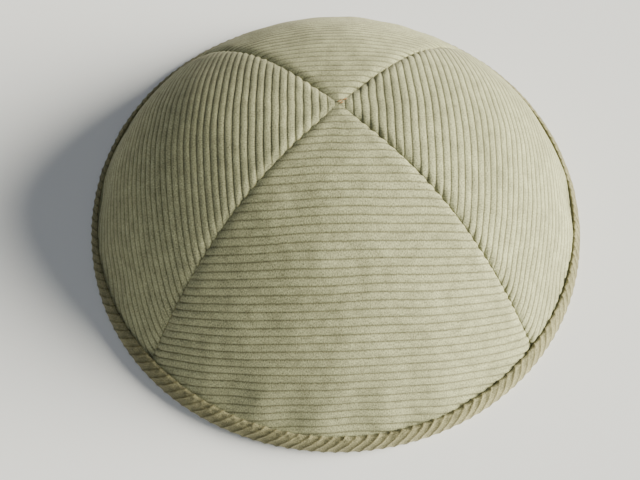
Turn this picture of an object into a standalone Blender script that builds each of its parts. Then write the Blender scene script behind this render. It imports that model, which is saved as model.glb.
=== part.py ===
"""Corduroy kippah: four cloth panels sewn into a dome, and a bias tape folded over the rim.

Metres, +Z up. The origin is at the middle of the rim, on the surface that the cap stands on.
The front panel faces -Y, and angles run round the cap from there towards +X.
"""

import math

import bmesh
import bpy
from mathutils import Vector

# Driving sizes of the cap as it stands, to the outer face of the cloth.
RIM_RADIUS = 0.0790
SIDE_RIM_RADIUS = 0.0766
DOME_HEIGHT = 0.0488

# The profile of the dome: its steepness at the rim, as a multiple of the height over the radius, and how
# round it is at the crown, from 0 for flat to 1 for a bowl. The two sides fall more steeply.
MIDDLE_STEEPNESS = 2.0
SIDE_STEEPNESS = 3.4
CROWN_ROUNDNESS = 0.17

# Cloth
CLOTH_THICKNESS = 0.0016
SEAM_GAP = 0.0003
SEAM_ROLL_DEPTH = 0.0004
SEAM_ROLL_SHARE = 0.055
SEAM_ROLL_START = 0.25

# Bias tape over the rim. Its width is measured up the slope of the cloth.
TAPE_THICKNESS = 0.0011
TAPE_WIDTH = 0.0050
TAPE_CLEARANCE = 0.0003
TAPE_EDGE_ROUND = 0.0005

# Flutes: soft hollows in the cloth just above the tape.
FLUTE_HEIGHT = 0.0180
FLUTE_DEPTH = 0.0008
FLUTE_LOW_END = 0.35
FLUTES = (
    # angle in degrees, depth as a share of FLUTE_DEPTH, half width in degrees
    {"angle": -38, "depth": 0.5, "half_width": 8},
    {"angle": -25, "depth": 0.8, "half_width": 8},
    {"angle": -12, "depth": 1.0, "half_width": 7},
    {"angle": 2, "depth": 0.9, "half_width": 7},
    {"angle": 13, "depth": 0.7, "half_width": 8},
    {"angle": 27, "depth": 0.5, "half_width": 8},
    {"angle": 62, "depth": 0.8, "half_width": 9},
    {"angle": 84, "depth": 0.9, "half_width": 9},
    {"angle": 107, "depth": 0.7, "half_width": 9},
    {"angle": 146, "depth": 0.6, "half_width": 9},
    {"angle": 168, "depth": 0.9, "half_width": 8},
    {"angle": 190, "depth": 0.8, "half_width": 9},
    {"angle": 211, "depth": 0.7, "half_width": 8},
    {"angle": 250, "depth": 0.8, "half_width": 9},
    {"angle": 272, "depth": 0.9, "half_width": 9},
    {"angle": 295, "depth": 0.7, "half_width": 9},
)

PANELS = {"front": 0, "right": 90, "back": 180, "left": 270}
PANEL_ANGLE = 90
COLUMNS = 24
ROWS = 20
HALVINGS = 30
NORMAL_STEP = 0.004


def side_share(angle):
    """0 along the middle of the front and the back, 1 along the middle of the two sides."""
    return math.sin(math.radians(angle)) ** 4


def outward(angle):
    """The level unit vector from the middle to the rim at this angle."""
    return Vector((math.sin(math.radians(angle)), -math.cos(math.radians(angle)), 0))


def fall(share, angle):
    """How far the cloth has fallen below the crown, as a share of the height of the dome."""
    steepness = MIDDLE_STEEPNESS + (SIDE_STEEPNESS - MIDDLE_STEEPNESS) * side_share(angle)
    cubic = 4 - steepness - 2 * CROWN_ROUNDNESS
    quartic = CROWN_ROUNDNESS + steepness - 3
    return share * share * (CROWN_ROUNDNESS + share * (cubic + share * quartic))


def share_at(height, angle):
    """The share of the way out from the crown where the dome has this height, found by halving."""
    wanted = 1 - height / DOME_HEIGHT
    low, high = 0, 1
    for _ in range(HALVINGS):
        middle = (low + high) / 2
        if fall(middle, angle) < wanted:
            low = middle
        else:
            high = middle
    return (low + high) / 2


def dome_point(share, angle):
    """A point on the dome: share is 0 at the crown and 1 at the foot of the rim."""
    height = DOME_HEIGHT * (1 - fall(share, angle))
    radius = RIM_RADIUS + (SIDE_RIM_RADIUS - RIM_RADIUS) * side_share(angle)
    return outward(angle) * (radius * share) + Vector((0, 0, height))


def dome_normal(share, angle):
    """The direction that the dome faces, from two short steps along it."""
    place = max(share, 2 * NORMAL_STEP)
    down = dome_point(place + NORMAL_STEP, angle) - dome_point(place - NORMAL_STEP, angle)
    across = dome_point(place, angle + 1) - dome_point(place, angle - 1)
    return down.cross(across).normalized()


def smooth(value):
    """Rises from 0 to 1 with soft ends as the value goes from 0 to 1."""
    value = min(max(value, 0), 1)
    return value * value * (3 - 2 * value)


def turn_between(first, second):
    """The smaller angle between two directions, in degrees."""
    return abs((first - second + 180) % 360 - 180)


def rim_slope(angle):
    """How steep the cloth is where the tape holds it."""
    rise = dome_point(share_at(TAPE_WIDTH, angle), angle) - dome_point(1, angle)
    return math.atan2(rise.z, math.hypot(rise.x, rise.y))


def tape_top(angle):
    return TAPE_WIDTH * math.sin(rim_slope(angle))


def cloth_foot(angle):
    """Height of the outer lower edge of the cloth, which stands clear of the fold of the tape."""
    return TAPE_THICKNESS + TAPE_CLEARANCE + CLOTH_THICKNESS * math.cos(rim_slope(angle))


def flute_depth(height, angle):
    """How far the flutes pull the cloth in at this place."""
    above = (height - tape_top(angle)) / FLUTE_HEIGHT
    if not 0 < above < 1:
        return 0
    swell = smooth(above / FLUTE_LOW_END) * smooth((1 - above) / (1 - FLUTE_LOW_END))
    near = (
        row["depth"] * (1 - smooth(turn_between(angle, row["angle"]) / row["half_width"]))
        for row in FLUTES
    )
    return FLUTE_DEPTH * swell * sum(near)


def roll_depth(share, across, height, angle):
    """How far the cloth turns in towards its seam: nothing at the crown and under the tape."""
    into = (abs(across) - 1 + SEAM_ROLL_SHARE) / SEAM_ROLL_SHARE
    if into <= 0:
        return 0
    fade = smooth(share / SEAM_ROLL_START) * smooth((height - tape_top(angle)) / TAPE_WIDTH)
    return SEAM_ROLL_DEPTH * into * into * fade


def cloth_point(share, across, middle):
    """A point on the outer face of a panel: share runs down it and across from seam to seam."""
    angle = middle + across * PANEL_ANGLE / 2
    place = share_at(cloth_foot(angle), angle) * share
    point = dome_point(place, angle)
    pulled_in = flute_depth(point.z, angle) + roll_depth(share, across, point.z, angle)
    stand_off = outward(middle) * (SEAM_GAP / math.sqrt(2))
    return point - dome_normal(place, angle) * pulled_in + stand_off


def column_places():
    """Even steps across the panel, and one more at each end where the cloth starts to roll in."""
    inner = 1 - SEAM_ROLL_SHARE
    steps = COLUMNS - 2
    return [-1] + [inner * (2 * i / steps - 1) for i in range(steps + 1)] + [1]


def add_object(name, points, faces, collection, material):
    mesh = bpy.data.meshes.new(name)
    mesh.from_pydata(points, [], faces)
    mesh.materials.append(material)
    mesh.shade_smooth()
    piece = bpy.data.objects.new(name, mesh)
    collection.objects.link(piece)
    return piece


def make_panel(side, collection, material):
    """A gore from the crown to the rim: an open sheet of faces, made a wall by Solidify."""
    middle = PANELS[side]
    places = column_places()
    points = [cloth_point(0, 0, middle)]
    for row in range(1, ROWS + 1):
        points += [cloth_point(row / ROWS, across, middle) for across in places]
    wide = len(places)
    faces = [(0, 1 + i, 2 + i) for i in range(wide - 1)]
    for row in range(ROWS - 1):
        start = 1 + row * wide
        for i in range(start, start + wide - 1):
            faces.append((i, i + wide, i + wide + 1, i + 1))
    piece = add_object(f"panel_{side}", points, faces, collection, material)
    wall = piece.modifiers.new("cloth", "SOLIDIFY")
    wall.thickness = CLOTH_THICKNESS
    wall.offset = -1
    wall.use_even_offset = True
    return piece


def tape_section(angle):
    """The folded tape cut across: a closed outline, round from the outer foot over the cloth."""
    slope = rim_slope(angle)
    top = tape_top(angle)
    near = TAPE_CLEARANCE / math.sin(slope)
    layer = TAPE_THICKNESS / math.sin(slope)
    cloth = CLOTH_THICKNESS / math.sin(slope)
    outer = near + layer
    far = -(cloth + near)
    inner = far - layer
    soft = TAPE_EDGE_ROUND
    return (
        (outer - soft, 0),
        (outer, soft),
        (outer, top - soft),
        (near + layer / 2, top),
        (near, top - soft),
        (near, TAPE_THICKNESS),
        (far, TAPE_THICKNESS),
        (far, top - soft),
        (far - layer / 2, top),
        (inner, top - soft),
        (inner, soft),
        (inner + soft, 0),
    )


def make_binding(collection, material):
    """The tape is a ring of cross sections, one at each column of the panels."""
    angles = [
        middle + across * PANEL_ANGLE / 2
        for middle in PANELS.values()
        for across in column_places()[:-1]
    ]
    points = []
    for angle in angles:
        level = outward(angle)
        foot = dome_point(share_at(cloth_foot(angle), angle), angle)
        lean = 1 / math.tan(rim_slope(angle))
        for aside, height in tape_section(angle):
            place = foot + level * (aside - (height - foot.z) * lean)
            points.append((place.x, place.y, height))
    around = len(tape_section(0))
    faces = []
    for ring in range(len(angles)):
        following = (ring + 1) % len(angles)
        for i in range(around):
            after = (i + 1) % around
            corners = (ring, i), (following, i), (following, after), (ring, after)
            faces.append([where * around + index for where, index in corners])
    return add_object("rim_binding", points, faces, collection, material)


def cloth_material(name, colour, roughness):
    material = bpy.data.materials.new(name)
    material.use_nodes = True
    shader = material.node_tree.nodes["Principled BSDF"]
    shader.inputs["Base Color"].default_value = (*colour, 1)
    shader.inputs["Roughness"].default_value = roughness
    shader.inputs["Metallic"].default_value = 0
    shader.inputs["Sheen Weight"].default_value = 0.3
    return material


def main():
    for thing in list(bpy.data.objects):
        bpy.data.objects.remove(thing)
    kippah = bpy.data.collections.new("corduroy_kippah")
    bpy.context.scene.collection.children.link(kippah)
    khaki = (0.42, 0.39, 0.26)
    for side in PANELS:
        make_panel(side, kippah, cloth_material(f"corduroy_{side}", khaki, 0.9))
    make_binding(kippah, cloth_material("bias_tape", (0.38, 0.34, 0.21), 0.9))
    binding = kippah.objects["rim_binding"]
    tidy = bmesh.new()
    tidy.from_mesh(binding.data)
    bmesh.ops.recalc_face_normals(tidy, faces=tidy.faces)
    tidy.to_mesh(binding.data)
    tidy.free()


main()
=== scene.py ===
# %% [markdown]
# # A corduroy kippah
# The cap is four panels of cotton corduroy sewn together at the crown, and a strip of the same cloth
# folded over the rim. The CAD part gives the true size and the plain walls. This lesson builds the
# cloth that is seen: each rib, the seams, the folded tape, its stitches, and then the finishes.

# %% Load the frame
import math

import bmesh
import bpy
import numpy as np
from mathutils import Matrix, Vector


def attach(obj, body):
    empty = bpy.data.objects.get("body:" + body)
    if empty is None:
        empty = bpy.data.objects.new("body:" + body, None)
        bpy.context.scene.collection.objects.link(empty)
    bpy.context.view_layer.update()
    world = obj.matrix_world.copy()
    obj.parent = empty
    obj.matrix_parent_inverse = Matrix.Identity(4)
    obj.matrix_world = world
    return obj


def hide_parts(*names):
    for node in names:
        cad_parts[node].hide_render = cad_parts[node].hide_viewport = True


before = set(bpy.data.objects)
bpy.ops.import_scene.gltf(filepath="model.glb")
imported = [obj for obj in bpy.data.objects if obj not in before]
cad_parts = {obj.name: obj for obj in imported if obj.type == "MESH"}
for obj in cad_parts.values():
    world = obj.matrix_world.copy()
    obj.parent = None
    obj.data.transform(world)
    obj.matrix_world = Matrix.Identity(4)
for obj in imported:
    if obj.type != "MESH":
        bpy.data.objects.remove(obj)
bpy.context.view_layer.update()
MM = 0.001

# %% [markdown]
# ## The shape of the dome
# Every piece lies on one dome, so it is written once, as a formula. The height falls slowly near the
# crown and runs nearly straight at the rim, and the cloth falls more steeply at the two sides.
# Angles run round the cap from the middle of the front panel towards the right.

# %% The dome
RIM_RADIUS = 79.0 * MM
SIDE_RIM_RADIUS = 76.6 * MM
DOME_HEIGHT = 48.8 * MM
MIDDLE_STEEPNESS = 2.0
SIDE_STEEPNESS = 3.4
CROWN_ROUNDNESS = 0.17
CLOTH_THICKNESS = 1.6 * MM
NORMAL_STEP = 0.2 * MM
WAVES = 9


def dome(x, y):
    """The outer face of the cloth over the plan places x, y."""
    sideways = np.sin(np.arctan2(x, -y)) ** 4
    share = np.hypot(x, y) / (RIM_RADIUS + (SIDE_RIM_RADIUS - RIM_RADIUS) * sideways)
    steepness = MIDDLE_STEEPNESS + (SIDE_STEEPNESS - MIDDLE_STEEPNESS) * sideways
    cubic = 4 - steepness - 2 * CROWN_ROUNDNESS
    quartic = CROWN_ROUNDNESS + steepness - 3
    fall = share**2 * (CROWN_ROUNDNESS + share * (cubic + share * quartic))
    return np.stack([x, y, DOME_HEIGHT * (1 - fall)], -1)


def dome_normal(x, y):
    """The direction that the dome faces, from short steps to each side."""
    along_x = dome(x + NORMAL_STEP, y) - dome(x - NORMAL_STEP, y)
    along_y = dome(x, y + NORMAL_STEP) - dome(x, y - NORMAL_STEP)
    normal = np.cross(along_x, along_y)
    return normal / np.linalg.norm(normal, axis=-1, keepdims=True)


def smooth(value):
    """Rises from 0 to 1 with soft ends as the value goes from 0 to 1."""
    value = np.clip(value, 0, 1)
    return value * value * (3 - 2 * value)


def unevenness(along, across, size, seed):
    """Soft irregular waves of about this size, between -1 and 1, that are the same on each run."""
    draws = np.random.default_rng(seed)
    total = 0
    for _ in range(WAVES):
        heading, start = draws.uniform(0, 2 * math.pi, 2)
        pitch = size * draws.uniform(0.7, 1.6)
        way = along * math.cos(heading) + across * math.sin(heading)
        total = total + np.sin(way * 2 * math.pi / pitch + start)
    return total / 5


slope = math.atan(MIDDLE_STEEPNESS * DOME_HEIGHT / RIM_RADIUS)
print("the slope at the front of the rim is", round(math.degrees(slope)), "degrees")

# %% [markdown]
# ## How the ribs lie
# Corduroy has raised ribs of pile, about 12 to the inch. Each panel is cut so that its ribs run level,
# from seam to seam. Seen from above they are straight near the crown and bow like a smile near the
# rim, because a flat cloth was bent into a dome. Rib numbers count down from the crown.

# %% The ribs of a panel
RIB_PITCH = 2.15 * MM
RIBS_TO_RIM = 45
# How the ribs crowd along the seam, as a cubic of the share of the way to the rim.
SEAM_REACH = (0.075, -1.21, 0.85)
# How far a rib's bow is from a plain parabola: at the crown, and how much more at the rim.
BOW = (-0.07, 0.41)
# Where the first groove of each panel lies, in ribs from the crown.
FIRST_RIB = {"front": 0.9, "right": 0.75, "back": 0.55, "left": 0.4}
QUARTERS = {"front": 0, "right": 1, "back": 2, "left": 3}


def seam_reach(ribs):
    """How far forward of the crown this rib is where it comes to the seam."""
    part = ribs / RIBS_TO_RIM
    first, second, third = SEAM_REACH
    return RIB_PITCH * ribs * (1 + part * (first + part * (second + part * third)))


def middle_reach(ribs):
    """How far forward of the crown this rib is along the middle of the panel, by its length of cloth."""
    y = np.linspace(0, 1.1 * RIM_RADIUS, 400)
    line = dome(0 * y, -y)
    length = np.cumsum(np.linalg.norm(np.diff(line, axis=0, prepend=line[:1]), axis=1))
    return np.interp(ribs * RIB_PITCH, length, y)


def rib_place(ribs, side):
    """Plan place on the front panel of a point on a rib: side runs from -1 to 1, from seam to seam."""
    middle = middle_reach(ribs)
    corner = seam_reach(ribs)
    bend = BOW[0] + BOW[1] * ribs / RIBS_TO_RIM
    bow = side**2 + bend * (side**4 - side**2)
    return corner * side, -(middle + (corner - middle) * bow)


def turned(x, y, quarter):
    """The same plan place on another panel, a number of quarter turns further round."""
    for _ in range(quarter):
        x, y = -y, x
    return x, y


print("ribs from crown to rim:", RIBS_TO_RIM)

# %% [markdown]
# ## Relief of the cloth
# The pile stands up in rounded ribs with narrow grooves between them. At a seam both panels roll in,
# which leaves a sharp line with small puckers from the stitches. Above the tape the cloth is pulled
# into shallow flutes, and under the tape the pile is pressed flat.

# %% Relief
RIB_HEIGHT = 0.21 * MM
RIB_SINK = 0.08 * MM
RIB_FULLNESS = 3.0
PRESSED_DEPTH = 0.1 * MM
PRESSED_START = 1.1 * MM
PRESSED_REACH = 1.2 * MM
SEAM_ROLL = 0.75 * MM
SEAM_ROLL_WIDTH = 2.6 * MM
SEAM_ROLL_SHARPNESS = 2.2
PUCKER = 0.25
PUCKER_PITCH = 2.5 * MM
SWELL = 0.16 * MM
SWELL_SIZE = 15
TAPE_WIDTH = 5.0 * MM
TAPE_WIDTHS = (
    # angle in degrees, width of the tape there as a share of TAPE_WIDTH
    {"angle": -180, "share": 0.85},
    {"angle": -90, "share": 0.60},
    {"angle": -50, "share": 0.80},
    {"angle": -5, "share": 0.55},
    {"angle": 20, "share": 0.55},
    {"angle": 50, "share": 0.80},
    {"angle": 90, "share": 0.80},
    {"angle": 180, "share": 0.85},
)
FOLD_RADIUS = 2.0 * MM
FLUTE_HEIGHT = 18 * MM
FLUTE_DEPTH = 0.8 * MM
FLUTE_LOW_END = 0.25
FLUTES = (
    # angle in degrees, depth as a share of FLUTE_DEPTH, half width in degrees
    {"angle": -38, "depth": 0.5, "half_width": 8},
    {"angle": -25, "depth": 0.8, "half_width": 8},
    {"angle": -12, "depth": 1.0, "half_width": 7},
    {"angle": 2, "depth": 0.9, "half_width": 7},
    {"angle": 13, "depth": 0.7, "half_width": 8},
    {"angle": 27, "depth": 0.5, "half_width": 8},
    {"angle": 62, "depth": 0.8, "half_width": 9},
    {"angle": 84, "depth": 0.9, "half_width": 9},
    {"angle": 107, "depth": 0.7, "half_width": 9},
    {"angle": 146, "depth": 0.6, "half_width": 9},
    {"angle": 168, "depth": 0.9, "half_width": 8},
    {"angle": 190, "depth": 0.8, "half_width": 9},
    {"angle": 211, "depth": 0.7, "half_width": 8},
    {"angle": 250, "depth": 0.8, "half_width": 9},
    {"angle": 272, "depth": 0.9, "half_width": 9},
    {"angle": 295, "depth": 0.7, "half_width": 9},
)


def rib_profile(phase):
    """Height of the pile across a rib: 0 in the grooves at whole numbers, 1 on the top between them."""
    beside = 1 - np.abs(2 * (phase % 1) - 1)
    return 1 - (1 - beside) ** RIB_FULLNESS


def tape_share(angle):
    """How wide the tape is at this angle in radians. It was folded by hand, and is narrow in front."""
    rows = [(row["angle"], row["share"]) for row in TAPE_WIDTHS]
    return np.interp((np.degrees(angle) + 180) % 360 - 180, *zip(*rows))


def flute_depth(points):
    """How far the flutes pull the cloth in at these points of the dome."""
    angle = np.degrees(np.arctan2(points[..., 0], -points[..., 1]))
    above = (points[..., 2] - TAPE_WIDTH * tape_share(np.radians(angle))) / FLUTE_HEIGHT
    swell = smooth(above / FLUTE_LOW_END) * smooth((1 - above) / (1 - FLUTE_LOW_END))
    total = 0
    for flute in FLUTES:
        aside = np.abs((angle - flute["angle"] + 180) % 360 - 180)
        total = total + flute["depth"] * (1 - smooth(aside / flute["half_width"]))
    return FLUTE_DEPTH * swell * total


def roll_depth(from_seam, ribs, seed):
    """How far the cloth rolls in towards its seam, with small puckers from the stitches."""
    into = np.clip(1 - from_seam / SEAM_ROLL_WIDTH, 0, 1) ** SEAM_ROLL_SHARPNESS
    pucker = 1 + PUCKER * np.sin(ribs * RIB_PITCH / PUCKER_PITCH * 2 * math.pi + seed)
    return SEAM_ROLL * into * pucker * (0.3 + 0.7 * smooth(ribs / 3))


print(len(FLUTES), "flutes, the deepest", FLUTE_DEPTH / MM, "mm")

# %% [markdown]
# ## From rows of points to a cloth wall
# A panel's rows of points follow its ribs, eight rows to a rib. Rows that run out at the rim are held
# at the foot of the cloth, so their points fall together there. They are joined, the faces that shrank
# to nothing are dropped, and an inner layer closes the sheet into a wall.

# %% Cloth walls
def joined_faces(points, faces):
    """Joins points that share a place. Gives the points to keep and the faces that are left."""
    rounded = np.round(points / (MM / 1000))
    _, keep, same = np.unique(rounded, axis=0, return_index=True, return_inverse=True)
    faces = same.reshape(-1)[faces]
    whole = (np.diff(np.sort(faces, axis=1), axis=1) > 0).all(axis=1)
    left = [tuple(face) for face in faces[whole].tolist()]
    for face in faces[~whole].tolist():
        corners = [corner for corner, before in zip(face, face[-1:] + face[:-1]) if corner != before]
        if len(set(corners)) > 2:
            left.append(tuple(corners))
    return keep, left


def open_edges(faces):
    """The edges that only one face uses."""
    edges = {(a, b) for face in faces for a, b in zip(face, face[1:] + face[:1])}
    return sorted((a, b) for a, b in edges if (b, a) not in edges)


def grid_faces(rows, columns):
    """Faces of a grid of points, row after row."""
    corner = np.arange(rows * columns).reshape(rows, columns)
    around = [corner[:-1, :-1], corner[1:, :-1], corner[1:, 1:], corner[:-1, 1:]]
    return np.stack(around, -1).reshape(-1, 4)


def add_piece(name, points, faces, finishes, rib=None, cloth=None, inner_from=None):
    """Makes a mesh piece of the cap. Its points carry the pile's height, as painted shade of the grooves,
    and places on the flat cloth.
    """
    mesh = bpy.data.meshes.new(name)
    mesh.from_pydata(points.tolist(), [], faces)
    for finish in finishes:
        mesh.materials.append(finish)
    mesh.shade_smooth()
    # The rib attribute sets the painted shade: low in the grooves, high on the rib tops.
    if rib is not None:
        mesh.attributes.new("rib", "FLOAT", "POINT").data.foreach_set("value", rib.astype(np.float32))
        places = mesh.attributes.new("cloth", "FLOAT_VECTOR", "POINT")
        places.data.foreach_set("vector", cloth.astype(np.float32).ravel())
    if inner_from is not None:
        finish_of = (np.arange(len(faces)) >= inner_from).astype(np.int32)
        mesh.polygons.foreach_set("material_index", finish_of)
    mesh.update()
    piece = bpy.data.objects.new(name, mesh)
    bpy.context.scene.collection.objects.link(piece)
    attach(piece, "root")
    return piece


def cloth_wall(name, outer, inner, outer_painted_shade_mix, inner_painted_shade_mix, cloth, finishes, slot):
    """Closes two layers of grid points, the outer and the inner face of a cloth, into one wall."""
    rows, columns = outer.shape[:2]
    keep, sheet = joined_faces(outer.reshape(-1, 3), grid_faces(rows, columns))
    count = len(keep)
    lining = [tuple(corner + count for corner in reversed(face)) for face in sheet]
    rim = [(b, a, a + count, b + count) for a, b in open_edges(sheet)]
    points = np.concatenate([outer.reshape(-1, 3)[keep], inner.reshape(-1, 3)[keep]])
    painted_shade_mix = np.concatenate([outer_painted_shade_mix.reshape(-1)[keep], inner_painted_shade_mix.reshape(-1)[keep]])
    places = np.concatenate([cloth.reshape(-1, 3)[keep]] * 2)
    return add_piece(name, points, sheet + lining + rim, finishes, painted_shade_mix, places, len(sheet))


print("a grid of 3 by 3 points has", len(grid_faces(3, 3)), "faces")

# %% [markdown]
# ## Finishes
# Corduroy is woven cotton with a cut pile. The pile scatters light in all directions, so it has no
# gloss and a soft pale sheen at grazing angles. The grooves are given a darker colour, which is painted
# shade. Its colour varies a little from tuft to tuft, and in broad soft patches where the pile was
# brushed.

# %% Colour and nodes
def linear(code):
    """An sRGB hex colour as linear RGBA."""
    parts = [int(code[start : start + 2], 16) / 255 for start in (1, 3, 5)]
    return [part / 12.92 if part <= 0.04045 else ((part + 0.055) / 1.055) ** 2.4 for part in parts] + [1]


def add_node(tree, kind, links=(), **settings):
    """Adds a node, sets its properties or input values by name, and links sockets to its inputs."""
    node = tree.nodes.new(kind)
    for name, value in settings.items():
        if hasattr(node, name):
            setattr(node, name, value)
        else:
            node.inputs[name.replace("_", " ")].default_value = value
    for target, source in links:
        tree.links.new(source, node.inputs[target])
    return node


# Sizes in mm. A real tuft is about 0.3 mm long on its rib, and its pile fans out across the rib.
TUFT_ALONG = 0.32
TUFT_ACROSS = 0.50
BRUSH_SIZE = 3.2
PATCH_SIZE = 24.0
TUFT_CONTRAST = 0.60
BRUSH_CONTRAST = 0.16
PATCH_CONTRAST = 0.10
TUFT_BUMP = 0.15 * MM


def cotton_pile(name, top, painted_groove_shade):
    """Cut cotton pile over ribs, with painted shade in the grooves and the noise of tufts, brush marks
    and patches over it.
    """
    finish = bpy.data.materials.new(name)
    finish.use_nodes = True
    tree = finish.node_tree
    shader = tree.nodes["Principled BSDF"]
    rib = add_node(tree, "ShaderNodeAttribute", attribute_name="rib")
    cloth = add_node(tree, "ShaderNodeAttribute", attribute_name="cloth")
    place = [("Vector", cloth.outputs["Vector"])]
    in_tufts = add_node(
        tree, "ShaderNodeVectorMath", [(0, cloth.outputs["Vector"])], operation="MULTIPLY",
    )
    in_tufts.inputs[1].default_value = (1 / TUFT_ALONG, 1 / TUFT_ACROSS, 1)
    tuft = add_node(
        tree, "ShaderNodeTexNoise", [("Vector", in_tufts.outputs["Vector"])],
        Scale=1.0, Detail=3.0, Roughness=0.65,
    )
    brush = add_node(tree, "ShaderNodeTexNoise", place, Scale=1 / BRUSH_SIZE, Detail=2.0, Roughness=0.5)
    patch = add_node(tree, "ShaderNodeTexNoise", place, Scale=1 / PATCH_SIZE, Detail=2.0, Roughness=0.5)
    # Painted shade: where the rib attribute is low, in the grooves, the colour is mixed towards the
    # darker groove colour.
    depth = add_node(
        tree, "ShaderNodeMapRange", [("Value", rib.outputs["Fac"])],
        From_Min=0.0, From_Max=0.8, To_Min=0.0, To_Max=1.0,
    )
    colour = add_node(
        tree, "ShaderNodeMix", [("Factor", depth.outputs["Result"])],
        data_type="RGBA",
    )
    colour.inputs[6].default_value = linear(painted_groove_shade)
    colour.inputs[7].default_value = linear(top)
    shade = colour.outputs[2]
    noises = ((tuft, TUFT_CONTRAST), (brush, BRUSH_CONTRAST), (patch, PATCH_CONTRAST))
    for noise, strength in noises:
        level = add_node(
            tree, "ShaderNodeMapRange", [("Value", noise.outputs["Fac"])],
            From_Min=0.3, From_Max=0.7, To_Min=1 - strength, To_Max=1 + strength,
        )
        mixed = add_node(
            tree, "ShaderNodeVectorMath", [(0, shade), (1, level.outputs["Result"])],
            operation="MULTIPLY",
        )
        shade = mixed.outputs["Vector"]
    tree.links.new(shade, shader.inputs["Base Color"])
    bump = add_node(
        tree, "ShaderNodeBump", [("Height", tuft.outputs["Fac"])],
        Strength=0.5, Distance=TUFT_BUMP,
    )
    tree.links.new(bump.outputs["Normal"], shader.inputs["Normal"])
    shader.inputs["Roughness"].default_value = 0.95
    shader.inputs["Specular IOR Level"].default_value = 0.15
    shader.inputs["Sheen Weight"].default_value = 0.25
    shader.inputs["Sheen Roughness"].default_value = 0.5
    shader.inputs["Sheen Tint"].default_value = linear("#F2EBD0")
    return finish


print("linear khaki:", [round(part, 3) for part in linear("#9C9C78")])

# %% Finishes of the cloth
# Each finish has the colour of its rib tops and a darker groove colour, which is painted shade.
corduroy_pile = cotton_pile("cotton corduroy, cut pile, khaki", "#9C9C78", "#68674C")
# The tape is the same cloth as the panels, and its darker colours are painted shade.
tape_pile_with_painted_shade = cotton_pile("cotton corduroy cut on the bias, khaki, with painted shade", "#807C5C", "#5A563A")


# The real threads are about 0.35 mm apart. They are drawn 0.7 mm apart, so that they show. A wave
# texture of scale 0.31 repeats once in each unit, which is a mm here.
WEAVE_PITCH = 0.7
WEAVE_BUMP = 0.1 * MM
ONE_WAVE = 0.31


def plain_cotton(name, colour, weave):
    """Plain woven cotton: matt, with a fine weave of threads drawn as crossed waves."""
    finish = bpy.data.materials.new(name)
    finish.use_nodes = True
    tree = finish.node_tree
    shader = tree.nodes["Principled BSDF"]
    cloth = add_node(tree, "ShaderNodeAttribute", attribute_name="cloth")
    place = [("Vector", cloth.outputs["Vector"])]
    warp = add_node(tree, "ShaderNodeTexWave", place, Scale=weave, bands_direction="X")
    weft = add_node(tree, "ShaderNodeTexWave", place, Scale=weave, bands_direction="Y")
    both = add_node(
        tree, "ShaderNodeMath", [(0, warp.outputs["Fac"]), (1, weft.outputs["Fac"])], operation="MAXIMUM",
    )
    bump = add_node(
        tree, "ShaderNodeBump", [("Height", both.outputs["Value"])],
        Strength=0.6, Distance=WEAVE_BUMP,
    )
    tree.links.new(bump.outputs["Normal"], shader.inputs["Normal"])
    shader.inputs["Base Color"].default_value = linear(colour)
    shader.inputs["Roughness"].default_value = 0.92
    shader.inputs["Specular IOR Level"].default_value = 0.2
    return finish


cloth_back = plain_cotton("woven cotton back of the corduroy", "#9C9870", ONE_WAVE / WEAVE_PITCH)


def spun_thread(name, colour):
    """Polyester sewing thread: smoother than the cloth, with a faint gloss."""
    finish = bpy.data.materials.new(name)
    finish.use_nodes = True
    shader = finish.node_tree.nodes["Principled BSDF"]
    shader.inputs["Base Color"].default_value = linear(colour)
    shader.inputs["Roughness"].default_value = 0.6
    shader.inputs["Specular IOR Level"].default_value = 0.4
    return finish


khaki_thread = spun_thread("spun polyester thread, khaki", "#A99C72")
amber_thread = spun_thread("spun polyester thread, amber", "#94693A")
cap_finishes = (corduroy_pile, tape_pile_with_painted_shade, cloth_back, khaki_thread, amber_thread)
print("finishes:", [finish.name for finish in cap_finishes])

# %% [markdown]
# ## The four panels
# Each panel is a gore of corduroy. The points nearest a seam lie at fixed distances from it, so that
# the roll of the seam keeps its shape from the crown to the rim. Each panel replaces its CAD wall.

# %% The panels
ROWS_IN_RIB = (0, 0.05, 0.13, 0.27, 0.5, 0.73, 0.87, 0.95)
SEAM_STEPS = np.array([0, 0.3, 0.7, 1.2, 1.9, 2.8]) * MM
INNER_COLUMNS = 61
FOOT_HEIGHT = 3.4 * MM
WOBBLE = 0.10
WOBBLE_SIZE = 24
UNEVEN_PILE = 0.10
UNEVEN_SIZE = 5
PANEL_SPREAD = 40
SEAM_STAND_OFF = 0.04 * MM
CLOTH_APART = 50


def column_sides(ribs):
    """The side values of a row's points: close together at both seams, even between them."""
    width = seam_reach(ribs) * math.sqrt(0.5)
    edge = 1 - np.minimum(SEAM_STEPS[-1] / np.maximum(width, MM / 10), 0.45)
    left = -1 + (1 - edge)[..., None] * (SEAM_STEPS / SEAM_STEPS[-1])
    inner = edge[..., None] * np.linspace(-1, 1, INNER_COLUMNS)
    return np.concatenate([left[..., :-1], inner, -left[..., :-1][..., ::-1]], -1)


def rib_rows(first):
    """Rib numbers of all rows, with more rows close to the grooves."""
    grooves = first + np.arange(-1, RIBS_TO_RIM + 1)
    rows = (grooves[:, None] + np.array(ROWS_IN_RIB)).ravel()
    return np.concatenate([[0], rows[rows > 0.1]])


def foot_rib(rows, heights):
    """The rib number at which one column of points comes down to the foot of the cloth."""
    below = np.nonzero(heights < FOOT_HEIGHT)[0]
    if len(below) == 0:
        return rows[-1]
    after = below[0]
    part = (heights[after - 1] - FOOT_HEIGHT) / (heights[after - 1] - heights[after])
    return rows[after - 1] + part * (rows[after] - rows[after - 1])


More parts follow.
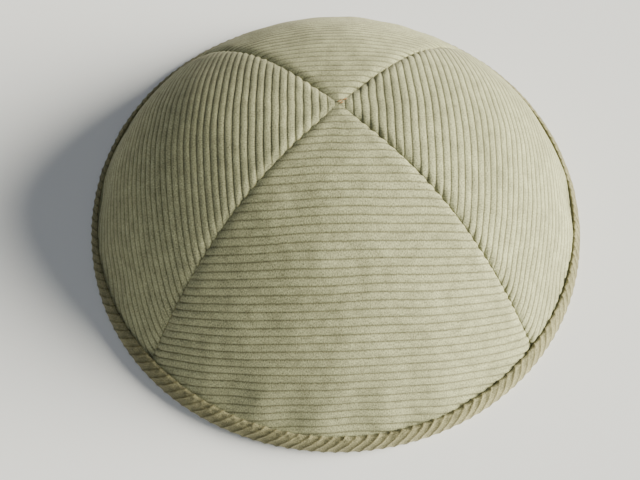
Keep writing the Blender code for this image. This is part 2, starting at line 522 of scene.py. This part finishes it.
def panel_grid(side_name):
    """Rib numbers and side values of all points of a panel, with every column held at the foot."""
    rows = rib_rows(FIRST_RIB[side_name])
    sides = column_sides(rows)
    x, y = rib_place(rows[:, None], sides)
    heights = dome(x, y)[..., 2]
    feet = np.array([foot_rib(rows, column) for column in heights.T])
    ribs = np.minimum(rows[:, None], feet)
    column = np.arange(sides.shape[1])
    return ribs, column_sides(ribs)[:, column, column]


def pressed(points, normal):
    """0 where the tape presses the pile flat, 1 well above the tape."""
    up_slope = (points[..., 2] - FOLD_RADIUS) / np.hypot(normal[..., 0], normal[..., 1])
    width = TAPE_WIDTH * tape_share(np.arctan2(points[..., 0], -points[..., 1]))
    return smooth((up_slope - width + PRESSED_START) / PRESSED_REACH)


def make_panel(side_name):
    """One panel on the dome, with the relief of its ribs, seams, flutes and soft swells."""
    quarter = QUARTERS[side_name]
    ribs, sides = panel_grid(side_name)
    wobble = WOBBLE * unevenness(sides * PANEL_SPREAD, ribs * 2, WOBBLE_SIZE, 10 + quarter)
    wobble = wobble * smooth(ribs / 4) * (1 - sides**2)
    x, y = turned(*rib_place(ribs + wobble, sides), quarter)
    base = dome(x, y)
    normal = dome_normal(x, y)
    from_seam = (1 - np.abs(sides)) * seam_reach(ribs) * math.sqrt(0.5)
    sink = flute_depth(base) + roll_depth(from_seam, ribs, quarter)
    swell = SWELL * unevenness(x / MM, y / MM, SWELL_SIZE, 20 + quarter)
    sink = sink - swell * smooth(from_seam / (6 * MM))
    free = pressed(base, normal)
    pile = rib_profile(ribs - FIRST_RIB[side_name])
    pile = 0.8 + (pile - 0.8) * smooth(ribs / 0.8)
    uneven = 1 + UNEVEN_PILE * unevenness(sides * PANEL_SPREAD, ribs * 2, UNEVEN_SIZE, 30 + quarter)
    standing = pile * RIB_HEIGHT * uneven - RIB_SINK - sink
    relief = free * standing - (1 - free) * PRESSED_DEPTH
    middle = np.radians(90 * quarter)
    aside = np.array([math.sin(middle), -math.cos(middle), 0]) * SEAM_STAND_OFF
    outer = base + normal * relief[..., None] + aside
    inner = base - normal * (CLOTH_THICKNESS + sink * free)[..., None] + aside
    across, down = sides * seam_reach(ribs) / MM, ribs * RIB_PITCH / MM
    cloth = np.stack([across, down, 0 * ribs + CLOTH_APART * quarter], -1)
    # Painted shade: the grooves take the darker groove colour, but not where the tape presses the pile
    # flat.
    shade = 1 - (1 - pile) * free
    name = f"corduroy_panel_{side_name}"
    finishes = [corduroy_pile, cloth_back]
    piece = cloth_wall(name, outer, inner, shade, 0 * shade, cloth, finishes, "corduroy")
    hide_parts(f"panel_{side_name}")
    return piece


panels = {side_name: make_panel(side_name) for side_name in QUARTERS}
print({side_name: len(piece.data.polygons) for side_name, piece in panels.items()}, "faces")

# %% [markdown]
# ## The bias tape
# The rim is bound with a strip cut at 45 degrees, so its ribs slant like the strands of a rope. Its
# section is a long U over the edge of the cloth. Each row of points follows a slanted rib round the
# fold, which keeps the ribs crisp with few points.

# %% The tape
TAPE_RIBS = 158
STEPS_IN_RIB = 8
# In mm along the rim: the pitch of the ribs times the root of 2, because they are cut at 45 degrees.
TAPE_RIB_PITCH = 3.04
TAPE_RIB_DEPTH = 0.24 * MM
# The strip was stretched round the curve, so its ribs lean less than 45 degrees.
TAPE_SLANT = 0.75
TAPE_UNEVENNESS = 0.10 * MM
TAPE_UNEVEN_SIZE = 9
TAPE_CLOTH_START = 300
# In mm. The line of stitches lies this far up the slope, and each stitch makes a soft dimple.
STITCH_UP = 4.1
STITCH_PITCH = 2.6
DIMPLE_HEIGHT = 0.45
DIMPLE_WIDTH = 0.5
DIMPLE_DEPTH = 0.32 * MM
RIM_START = 0.88
RIM_STEPS = 90
TAPE_SECTION = (
    # up the slope of the cloth, out from its middle layer, share of the rib's depth
    {"up": 4.5, "out": 0.82, "ribbed": 0.0},
    {"up": 5.0, "out": 0.90, "ribbed": 0.3},
    {"up": 5.25, "out": 1.15, "ribbed": 1.8},
    {"up": 5.05, "out": 1.50, "ribbed": 1.3},
    {"up": 4.60, "out": 1.68, "ribbed": 0.9},
    {"up": 4.10, "out": 1.62, "ribbed": 0.8},
    {"up": 3.60, "out": 1.88, "ribbed": 1.0},
    {"up": 2.80, "out": 2.10, "ribbed": 1.0},
    {"up": 1.80, "out": 2.20, "ribbed": 1.0},
    {"up": 0.90, "out": 2.12, "ribbed": 1.0},
    {"up": 0.0, "out": 2.0, "ribbed": 1.0},
    {"up": -0.77, "out": 1.85, "ribbed": 1.0},
    {"up": -1.41, "out": 1.41, "ribbed": 1.0},
    {"up": -1.85, "out": 0.77, "ribbed": 1.0},
    {"up": -2.0, "out": 0.0, "ribbed": 1.0},
    {"up": -1.85, "out": -0.77, "ribbed": 1.0},
    {"up": -1.41, "out": -1.41, "ribbed": 1.0},
    {"up": -0.77, "out": -1.85, "ribbed": 1.0},
    {"up": 0.0, "out": -2.0, "ribbed": 1.0},
    {"up": 0.90, "out": -2.12, "ribbed": 1.0},
    {"up": 1.80, "out": -2.20, "ribbed": 1.0},
    {"up": 2.80, "out": -2.15, "ribbed": 1.0},
    {"up": 3.60, "out": -1.95, "ribbed": 1.0},
    {"up": 4.10, "out": -1.68, "ribbed": 0.8},
    {"up": 4.55, "out": -1.88, "ribbed": 0.9},
    {"up": 4.95, "out": -1.82, "ribbed": 1.0},
    {"up": 5.15, "out": -1.45, "ribbed": 0.9},
    {"up": 4.95, "out": -1.10, "ribbed": 0.4},
    {"up": 4.5, "out": -0.95, "ribbed": 0.0},
    {"up": 0.6, "out": -0.95, "ribbed": 0.0},
    {"up": 0.6, "out": 0.95, "ribbed": 0.0},
)


def rim_frame(angle):
    """Middle of the cloth's edge in the fold, and the directions out from the cloth and up its slope."""
    shares = np.linspace(RIM_START, 1.0, RIM_STEPS)
    x = np.sin(angle)[..., None] * shares * RIM_RADIUS
    y = -np.cos(angle)[..., None] * shares * RIM_RADIUS
    middle = dome(x, y) - dome_normal(x, y) * (CLOTH_THICKNESS / 2)
    place = np.argmin(np.abs(middle[..., 2] - FOLD_RADIUS), axis=-1)
    share = np.take_along_axis(shares + 0 * x, place[..., None], -1)[..., 0]
    gap = np.take_along_axis(middle[..., 2], place[..., None], -1)[..., 0] - FOLD_RADIUS
    share = share + gap / (MIDDLE_STEEPNESS * DOME_HEIGHT)
    x, y = np.sin(angle) * share * RIM_RADIUS, -np.cos(angle) * share * RIM_RADIUS
    out = dome_normal(x, y)
    along = np.stack([np.cos(angle), np.sin(angle), 0 * angle], -1)
    return dome(x, y) - out * (CLOTH_THICKNESS / 2), out, np.cross(out, along)


def dimple_depth(along_rim, up, out):
    """How deep the stitches press the pile of the tape, on its outer and its inner layer."""
    centre = np.round(along_rim / STITCH_PITCH) * STITCH_PITCH
    near_line = np.exp(-(((up - STITCH_UP) / DIMPLE_HEIGHT) ** 2)) * (np.abs(out) > 1.2)
    return np.exp(-(((along_rim - centre) / DIMPLE_WIDTH) ** 2)) * near_line * DIMPLE_DEPTH


def tube_faces(count, columns, skew):
    """Faces of a closed tube. Its last column meets its first some rows back, because the rows slant."""
    number = np.arange(count * columns).reshape(count, columns)
    following = np.roll(number, -1, axis=0)
    sheet = np.stack([number[:, :-1], number[:, 1:], following[:, 1:], following[:, :-1]], -1)
    start = np.roll(number[:, 0], skew)
    after = np.roll(following[:, 0], skew)
    closing = np.stack([number[:, -1], start, after, following[:, -1]], -1)
    return [tuple(face) for face in np.concatenate([sheet.reshape(-1, 4), closing]).tolist()]


def face_outward(piece):
    """Turns all faces of a closed mesh to look out."""
    shell = bmesh.new()
    shell.from_mesh(piece.data)
    bmesh.ops.recalc_face_normals(shell, faces=shell.faces)
    shell.to_mesh(piece.data)
    shell.free()


def make_tape():
    """The tape: its section swept round the rim along slanted rows, and lowered in its grooves."""
    up, out, ribbed = (np.array([row[key] for row in TAPE_SECTION]) for key in ("up", "out", "ribbed"))
    steps = np.hypot(np.diff(up), np.diff(out))
    down = np.concatenate([[0], np.cumsum(steps)])
    facing = np.stack([np.gradient(out), -np.gradient(up)], -1)
    facing = -facing / np.linalg.norm(facing, axis=1, keepdims=True)
    count = TAPE_RIBS * STEPS_IN_RIB
    rib = np.arange(count)[:, None] / STEPS_IN_RIB
    slant = down * TAPE_SLANT / TAPE_RIB_PITCH
    angle = (rib - slant) * (2 * math.pi / TAPE_RIBS)
    pile = rib_profile(rib + 0 * down)
    along_rim = angle * RIM_RADIUS / MM
    uneven = TAPE_UNEVENNESS * unevenness(along_rim, down + 0 * along_rim, TAPE_UNEVEN_SIZE, 41)
    lower = uneven * ribbed * (up > 0.5) - (1 - pile) * TAPE_RIB_DEPTH * ribbed
    lower = lower - dimple_depth(along_rim, up, out)
    middle, outward, upward = rim_frame(angle)
    up_place = np.where(up > 0, up * tape_share(angle), up) * MM + lower * facing[:, 0]
    out_place = out * MM + lower * facing[:, 1]
    points = middle + upward * up_place[..., None] + outward * out_place[..., None]
    points[..., 2] = np.maximum(points[..., 2], 0)
    faces = tube_faces(count, len(up), int(round(slant[-1] * STEPS_IN_RIB)))
    cloth = np.stack([along_rim, down + 0 * angle, 0 * angle + TAPE_CLOTH_START], -1)
    # Painted shade in the grooves of the tape's ribs.
    shade = 1 - (1 - pile) * np.minimum(ribbed, 1)
    piece = add_piece(
        "bias_tape_over_the_rim", points.reshape(-1, 3), faces, [tape_pile_with_painted_shade],
        shade.reshape(-1), cloth.reshape(-1, 3),
    )
    face_outward(piece)
    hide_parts("rim_binding")
    return piece


tape = make_tape()
print("the tape has", len(tape.data.polygons), "faces")

# %% [markdown]
# ## Stitches
# The tape is sewn through near its upper edge. Each stitch pulls a dimple into the pile, and its thread
# lies sunk in it. A stitch is a short bar with round ends, and one mesh holds them all.

# %% Stitches of the tape
THREAD_RADIUS = 0.16 * MM
STITCH_LENGTH = 1.5
STITCH_OUT = 1.34
BAR_SIDES = 6
BAR_WIDTHS = (0.2, 0.9, 1.0, 0.9, 0.2)
BAR_ARCH = 0.8


def bars(starts, ends, bulge, radius):
    """Short bars with round ends from each start to its end, arched along the bulge direction."""
    shares = np.linspace(0, 1, len(BAR_WIDTHS))
    widths = radius * np.array(BAR_WIDTHS)
    way = ends - starts
    way = way / np.linalg.norm(way, axis=-1, keepdims=True)
    beside = np.cross(way, bulge)
    beside = beside / np.linalg.norm(beside, axis=-1, keepdims=True)
    points, faces = [], []
    turn = np.linspace(0, 2 * math.pi, BAR_SIDES, endpoint=False)
    ring = np.cos(turn)[:, None, None] * beside + np.sin(turn)[:, None, None] * bulge
    for share, width in zip(shares, widths):
        arch = radius * BAR_ARCH * math.sin(math.pi * share)
        line = starts + (ends - starts) * share + bulge * arch
        points.append(line + ring * width)
    points = np.stack(points).transpose(2, 0, 1, 3)
    bar_count, ring_count = points.shape[:2]
    for bar in range(bar_count):
        first = bar * ring_count * BAR_SIDES
        for step in range(ring_count - 1):
            low = first + step * BAR_SIDES
            for side in range(BAR_SIDES):
                beyond = (side + 1) % BAR_SIDES
                faces.append((low + side, low + beyond, low + BAR_SIDES + beyond, low + BAR_SIDES + side))
        faces.append(tuple(range(first, first + BAR_SIDES))[::-1])
        last = first + (ring_count - 1) * BAR_SIDES
        faces.append(tuple(range(last, last + BAR_SIDES)))
    return points.reshape(-1, 3), faces


def stitch_line(out):
    """One line of stitches round the rim, on the outer or the inner layer of the tape."""
    count = int(2 * math.pi * RIM_RADIUS / MM / STITCH_PITCH)
    centre = np.arange(count) * STITCH_PITCH / (RIM_RADIUS / MM)
    half = STITCH_LENGTH / 2 / (RIM_RADIUS / MM)
    ends = []
    for angle in (centre - half, centre + half):
        middle, outward, upward = rim_frame(angle)
        up_place = (STITCH_UP * tape_share(angle))[:, None] * MM
        ends.append(middle + upward * up_place + outward * (out * MM))
    outward = rim_frame(centre)[1]
    return bars(ends[0], ends[1], outward * math.copysign(1, out), THREAD_RADIUS)


for name, out in (("stitches_outside", STITCH_OUT), ("stitches_inside", -STITCH_OUT)):
    points, faces = stitch_line(out)
    add_piece(name, points, faces, [khaki_thread])
    print(name, len(faces), "faces")

# %% [markdown]
# ## Inside
# The panels are sewn face to face, so their edges lie inside as narrow strips pressed open along each
# seam, with their ribs towards the head. They show only from below.

# %% Pressed seam edges
ALLOWANCE = 6 * MM
ALLOWANCE_THICKNESS = 0.7 * MM
ALLOWANCE_CLEARANCE = 0.12 * MM
ALLOWANCE_LIFT = 0.25 * MM
ALLOWANCE_FOOT = 6.2 * MM
ALLOWANCE_RIBS = (1.2, 36)
ALLOWANCE_ROWS = 190
ALLOWANCE_COLUMNS = 5
ALLOWANCE_CLOTH_START = 77


def make_allowance(side_name, hand):
    """The pressed edge of one panel along its seam on the left (-1) or the right (1)."""
    quarter = QUARTERS[side_name]
    ribs = np.linspace(*ALLOWANCE_RIBS, ALLOWANCE_ROWS)[:, None]
    across = np.linspace(0, 1, ALLOWANCE_COLUMNS)[None, :]
    width = seam_reach(ribs) * math.sqrt(0.5)
    reach = np.minimum(ALLOWANCE, width * 0.7)
    x, y = turned(*rib_place(ribs + 0 * across, hand * (1 - across * reach / width)), quarter)
    base = dome(x, y)
    normal = dome_normal(x, y)
    roll = SEAM_ROLL * np.clip(1 - across * reach / SEAM_ROLL_WIDTH, 0, 1) ** 2
    depth = CLOTH_THICKNESS + ALLOWANCE_CLEARANCE + roll
    lift = ALLOWANCE_LIFT * (1 + unevenness(ribs * 2, across * 3, 9, 50 + quarter)) * across
    near = base - normal * (depth + flute_depth(base) + lift)[..., None]
    pile = rib_profile(ribs + 0 * across)
    far = near - normal * (ALLOWANCE_THICKNESS + pile * RIB_HEIGHT)[..., None]
    flat = 0 * ribs * across
    cloth = [across * ALLOWANCE / MM + flat, ribs * RIB_PITCH / MM + flat, ALLOWANCE_CLOTH_START + flat]
    rows = int((near[..., 2] >= ALLOWANCE_FOOT).all(axis=1).sum())
    order = slice(None) if hand < 0 else slice(None, None, -1)
    # The pile side of each edge takes painted shade in its grooves.
    grids = (near, far, 0 * pile, pile, np.stack(cloth, -1))
    grids = [grid[:rows, order] for grid in grids]
    name = f"pressed_seam_edge_{side_name}_{'right' if hand > 0 else 'left'}"
    return cloth_wall(name, *grids, [cloth_back, corduroy_pile], "corduroy")


edges = [make_allowance(side_name, hand) for side_name in QUARTERS for hand in (-1, 1)]
print(len(edges), "pressed edges")

# %% [markdown]
# ## Crown
# Where the four seams meet, a few short ends of amber thread from the sewing stand in the pile.

# %% Threads at the crown
CROWN_THREADS = (
    # start and end in mm from the crown, seen from above
    {"from": (-0.5, 0.2), "to": (1.0, 0.9)},
    {"from": (0.2, -0.3), "to": (1.3, 0.3)},
    {"from": (1.0, 0.9), "to": (2.3, 1.5)},
)
CROWN_THREAD_LIFT = 0.12 * MM
starts = np.array([row["from"] for row in CROWN_THREADS]) * MM
ends = np.array([row["to"] for row in CROWN_THREADS]) * MM
upright = np.array([0.0, 0.0, 1.0])
starts = dome(starts[:, 0], starts[:, 1]) + upright * CROWN_THREAD_LIFT
ends = dome(ends[:, 0], ends[:, 1]) + upright * CROWN_THREAD_LIFT
points, faces = bars(starts, ends, np.tile(upright, (len(starts), 1)), THREAD_RADIUS)
add_piece("thread_ends_at_the_crown", points, faces, [amber_thread])
print(len(CROWN_THREADS), "thread ends")

# %% [markdown]
# ## Studio
# The cap stands on a plain pale floor. Soft light falls in low from the right, as from a window, so the
# left side lies in shade. A weak, cooler lamp above the front keeps the shade from going flat.

# %% Floor and lamps
HALF_FLOOR = 30.0
floor_mesh = bpy.data.meshes.new("floor")
corners = [(x * HALF_FLOOR, y * HALF_FLOOR, 0) for x, y in ((-1, -1), (1, -1), (1, 1), (-1, 1))]
floor_mesh.from_pydata(corners, [], [(0, 1, 2, 3)])
floor = bpy.data.objects.new("floor", floor_mesh)
bpy.context.scene.collection.objects.link(floor)
paper = bpy.data.materials.new("matt white paper")
paper.use_nodes = True
paper_shader = paper.node_tree.nodes["Principled BSDF"]
paper_shader.inputs["Base Color"].default_value = linear("#F4F4F2")
paper_shader.inputs["Roughness"].default_value = 0.9
floor_mesh.materials.append(paper)

LAMPS = (
    # The sun's size is its angle in radians, and the other lamp's is its width in metres.
    {
        "name": "window", "kind": "SUN", "colour": "#FFFCEF",
        "from": (0.95, -0.04, 0.31), "strength": 15.0, "size": 0.7,
    },
    {
        "name": "ceiling", "kind": "AREA", "colour": "#E9F0FA",
        "from": (0.0, -0.55, 1.00), "strength": 3.2, "size": 0.9,
    },
)
for row in LAMPS:
    lamp = bpy.data.lights.new(row["name"], row["kind"])
    lamp.energy = row["strength"]
    lamp.color = linear(row["colour"])[:3]
    if row["kind"] == "SUN":
        lamp.angle = row["size"]
    else:
        lamp.size = row["size"]
    holder = bpy.data.objects.new(row["name"], lamp)
    holder.location = row["from"]
    holder.rotation_euler = (-Vector(row["from"])).to_track_quat("-Z", "Y").to_euler()
    bpy.context.scene.collection.objects.link(holder)

world = bpy.data.worlds.new("soft room light")
world.use_nodes = True
room = world.node_tree.nodes["Background"]
room.inputs["Color"].default_value = linear("#E8EEF6")
room.inputs["Strength"].default_value = 0.08
bpy.context.scene.world = world
print(len(LAMPS), "lamps")

# %% [markdown]
# ## Camera
# The picture is taken from close by, high over the front, so the near ribs look wider than the far
# ones. The distance and the field of view are those that give the ribs their spacing in the picture.

# %% Camera
# The first three are in degrees.
CAMERA_RISE = 56.5
CAMERA_TURN = 3.95
CAMERA_ROLL = 1.97
CAMERA_DISTANCE = 215.8 * MM
AIM_RIGHT = 2.1 * MM
AIM_BELOW_CROWN = 35.3 * MM
FOCAL_PIXELS = 700.9
CENTRE_PIXEL = (344.2, 176.4)
PICTURE = (640, 480)
SENSOR = 36

camera_data = bpy.data.cameras.new("camera")
camera_data.sensor_width = SENSOR
camera_data.lens = FOCAL_PIXELS / PICTURE[0] * SENSOR
camera_data.shift_x = (PICTURE[0] / 2 - CENTRE_PIXEL[0]) / PICTURE[0]
camera_data.shift_y = (CENTRE_PIXEL[1] - PICTURE[1] / 2) / PICTURE[0]
camera_data.clip_start = 0.01
camera = bpy.data.objects.new("camera", camera_data)
bpy.context.scene.collection.objects.link(camera)
rise = math.radians(CAMERA_RISE)
aim = Vector((AIM_RIGHT, 0, DOME_HEIGHT - AIM_BELOW_CROWN))
place = aim + CAMERA_DISTANCE * Vector((0, -math.cos(rise), math.sin(rise)))
camera.matrix_world = (
    Matrix.Rotation(-math.radians(CAMERA_TURN), 4, "Z")
    @ Matrix.Translation(place)
    @ Matrix.Rotation(math.pi / 2 - rise, 4, "X")
    @ Matrix.Rotation(math.radians(CAMERA_ROLL), 4, "Z")
)
bpy.context.scene.camera = camera
print("lens in mm:", round(camera_data.lens, 1))
